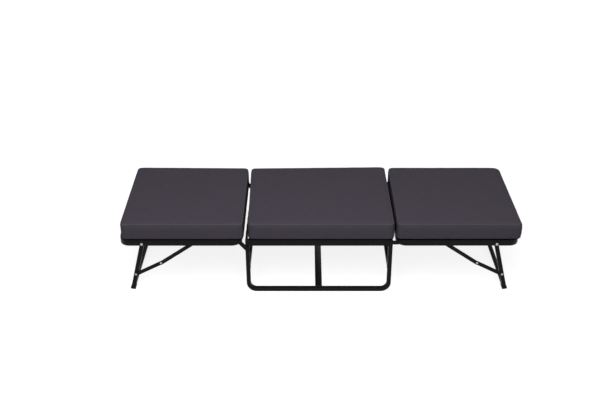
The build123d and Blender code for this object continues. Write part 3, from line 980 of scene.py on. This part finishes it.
def boxed_cushion(lie):
    """A stuffed cover in place of the CAD cushion."""
    low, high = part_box(lie.node)
    size = Vector((*mean_size(lie), high.z - low.z - cover_crown))
    build = panel_box(size)
    held = []
    for index, vertex in enumerate(build.verts):
        if seam_distance(*vertex.co, size) < seam_hold:
            held.append(index)
        place = rounded(vertex.co, size, lie)
        height = place.z / size.z
        near_end = max(0.0, 1 - (size.x - place.x) / swell_reach)
        place.x += lie.swell * MM * near_end * sqrt(max(0.0, 4 * height * (1 - height)))
        x = place.x / size.x
        y = place.y / size.y
        crown = cover_crown * 16 * x * (1 - x) * y * (1 - y) * max(0.0, 2 * height - 1)
        vertex.co = (*laid(lie, x, y), low.z + place.z + crown)
    mesh = bpy.data.meshes.new(lie.node + "_cover")
    build.to_mesh(mesh)
    build.free()
    piece = bpy.data.objects.new(lie.node + "_cover", mesh)
    bpy.context.scene.collection.objects.link(piece)
    inflate(piece, held)
    smooth = piece.modifiers.new("smooth", "SUBSURF")
    smooth.levels = 1
    smooth.render_levels = 1
    bake_modifiers(piece)
    normals = [v.normal.copy() for v in piece.data.vertices]
    for vertex, normal in zip(piece.data.vertices, normals):
        x, y = shares_of(lie, vertex.co)
        away = seam_distance(x * size.x, y * size.y, vertex.co.z - low.z, size)
        pucker = noise.noise(vertex.co / pucker_size) * pucker_height * max(0.0, 1 - away / pucker_reach)
        rumple = noise.noise(vertex.co / rumple_size) * rumple_height * min(1.0, away / pucker_reach)
        lift_by = pucker + rumple
        if vertex.co.z < low.z + base_hold:
            lift_by = 0.0
        vertex.co += normal * lift_by
        vertex.co.z = max(vertex.co.z, low.z)
        vertex.co = sagged(vertex.co, low, lie.sag * MM)
    smooth_faces(piece.data)
    piece.data.materials.clear()
    piece.data.materials.append(cloth)
    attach(piece, lie.body)
    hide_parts(lie.node)
    return piece


covers = {lie.node: boxed_cushion(lie) for lie in cushion_lies}

# Seams of the covers
# The panels are sewn to the side band with a plain seam, which stands out as a fine ridge of cloth.
# The one round the top edge is made of paler cloth, a painted highlight of the light that the rounded top
# edge catches;
# the other runs where the painted shade of the base begins.
edge_radius = 2.0 * MM
ridge_radius = 1.2 * MM
ridge_corners = 6
ridge_step = 6 * MM
ridge_out = 0.3
# Painted highlight: the top-edge seam is a paler cloth than the cover, standing for the light caught by the
# rounded edge.
edge_highlight_deep = (0.086, 0.079, 0.090, 1)
edge_highlight_pale = (0.118, 0.109, 0.122, 1)

edge_highlight_cloth, edge_tree, edge_shader = new_finish("painted_edge_highlight")
nap = noise_of(edge_tree, slub_size, detail=2)
link(edge_tree, shade_between(edge_tree, nap, edge_highlight_deep, edge_highlight_pale), edge_shader.inputs["Base Color"])
link(edge_tree, spread(edge_tree, nap, *cloth_roughness), edge_shader.inputs["Roughness"])
edge_shader.inputs["Specular IOR Level"].default_value = cloth_gloss

ridge_tree, start, end = node_tree(
    "seam_ridge", (("Radius", "NodeSocketFloat", ridge_radius), ("Finish", "NodeSocketMaterial", None))
)
seam_line = ridge_tree.nodes.new("GeometryNodeMeshToCurve")
seam_round = ridge_tree.nodes.new("GeometryNodeCurvePrimitiveCircle")
seam_round.inputs["Resolution"].default_value = ridge_corners
seam_solid = ridge_tree.nodes.new("GeometryNodeCurveToMesh")
link(ridge_tree, start["Geometry"], seam_line.inputs["Mesh"])
link(ridge_tree, start["Radius"], seam_round.inputs["Radius"])
link(ridge_tree, seam_line.outputs[0], seam_solid.inputs["Curve"])
link(ridge_tree, seam_round.outputs[0], seam_solid.inputs["Profile Curve"])
set_finish_and_end(ridge_tree, start, seam_solid.outputs[0], end)


def rounded_outline(width, depth, rear_round, step):
    """Points round a rectangle from above, with rounded corners, the rear right one to its own radius."""
    points = []
    corners = (
        (width - corner_radius, corner_radius, corner_radius, -pi / 2),
        (width - rear_round, depth - rear_round, rear_round, 0),
        (corner_radius, depth - corner_radius, corner_radius, pi / 2),
        (corner_radius, corner_radius, corner_radius, pi),
    )
    for cx, cy, radius, angle in corners:
        count = max(4, round(radius * pi / 2 / step))
        for i in range(count + 1):
            turn = angle + pi / 2 * i / count
            points.append(Vector((cx + radius * cos(turn), cy + radius * sin(turn), 0)))
    full = []
    for first, second in zip(points, points[1:] + points[:1]):
        count = max(1, round((second - first).length / step))
        full += [first.lerp(second, i / count) for i in range(count)]
    return full


def seam_ring(lie, level, radius):
    """A closed line on a cover, where it comes nearest to a line round its edge at that height."""
    cover = covers[lie.node].data
    surface = BVHTree.FromPolygons([v.co for v in cover.vertices], [p.vertices for p in cover.polygons])
    width, depth = mean_size(lie)
    ring = []
    for point in rounded_outline(width, depth, lie.rear_round * MM, ridge_step):
        spot = laid(lie, point.x / width, point.y / depth)
        near, normal = surface.find_nearest(Vector((*spot, level)))[:2]
        ring.append(near + normal * radius * ridge_out)
    return ring


def seam_piece(lie, name, level, radius, finish):
    """The ridge of one seam, all round a cushion."""
    ring = seam_ring(lie, level, radius)
    seam_mesh = bpy.data.meshes.new(name)
    seam_mesh.from_pydata(ring, [(i, (i + 1) % len(ring)) for i in range(len(ring))], [])
    piece = grown(name, ridge_tree, seam_mesh, {"Finish": finish, "Radius": radius})
    smooth_faces(piece.data)
    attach(piece, lie.body)


for lie in cushion_lies:
    low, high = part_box(lie.node)
    seam_piece(lie, lie.node + "_edge_seam", high.z - cover_crown, edge_radius, edge_highlight_cloth)
    # The lower seam runs at the top of the painted shade.
    seam_piece(lie, lie.node + "_lining_seam", painted_shade_top, ridge_radius, cloth)
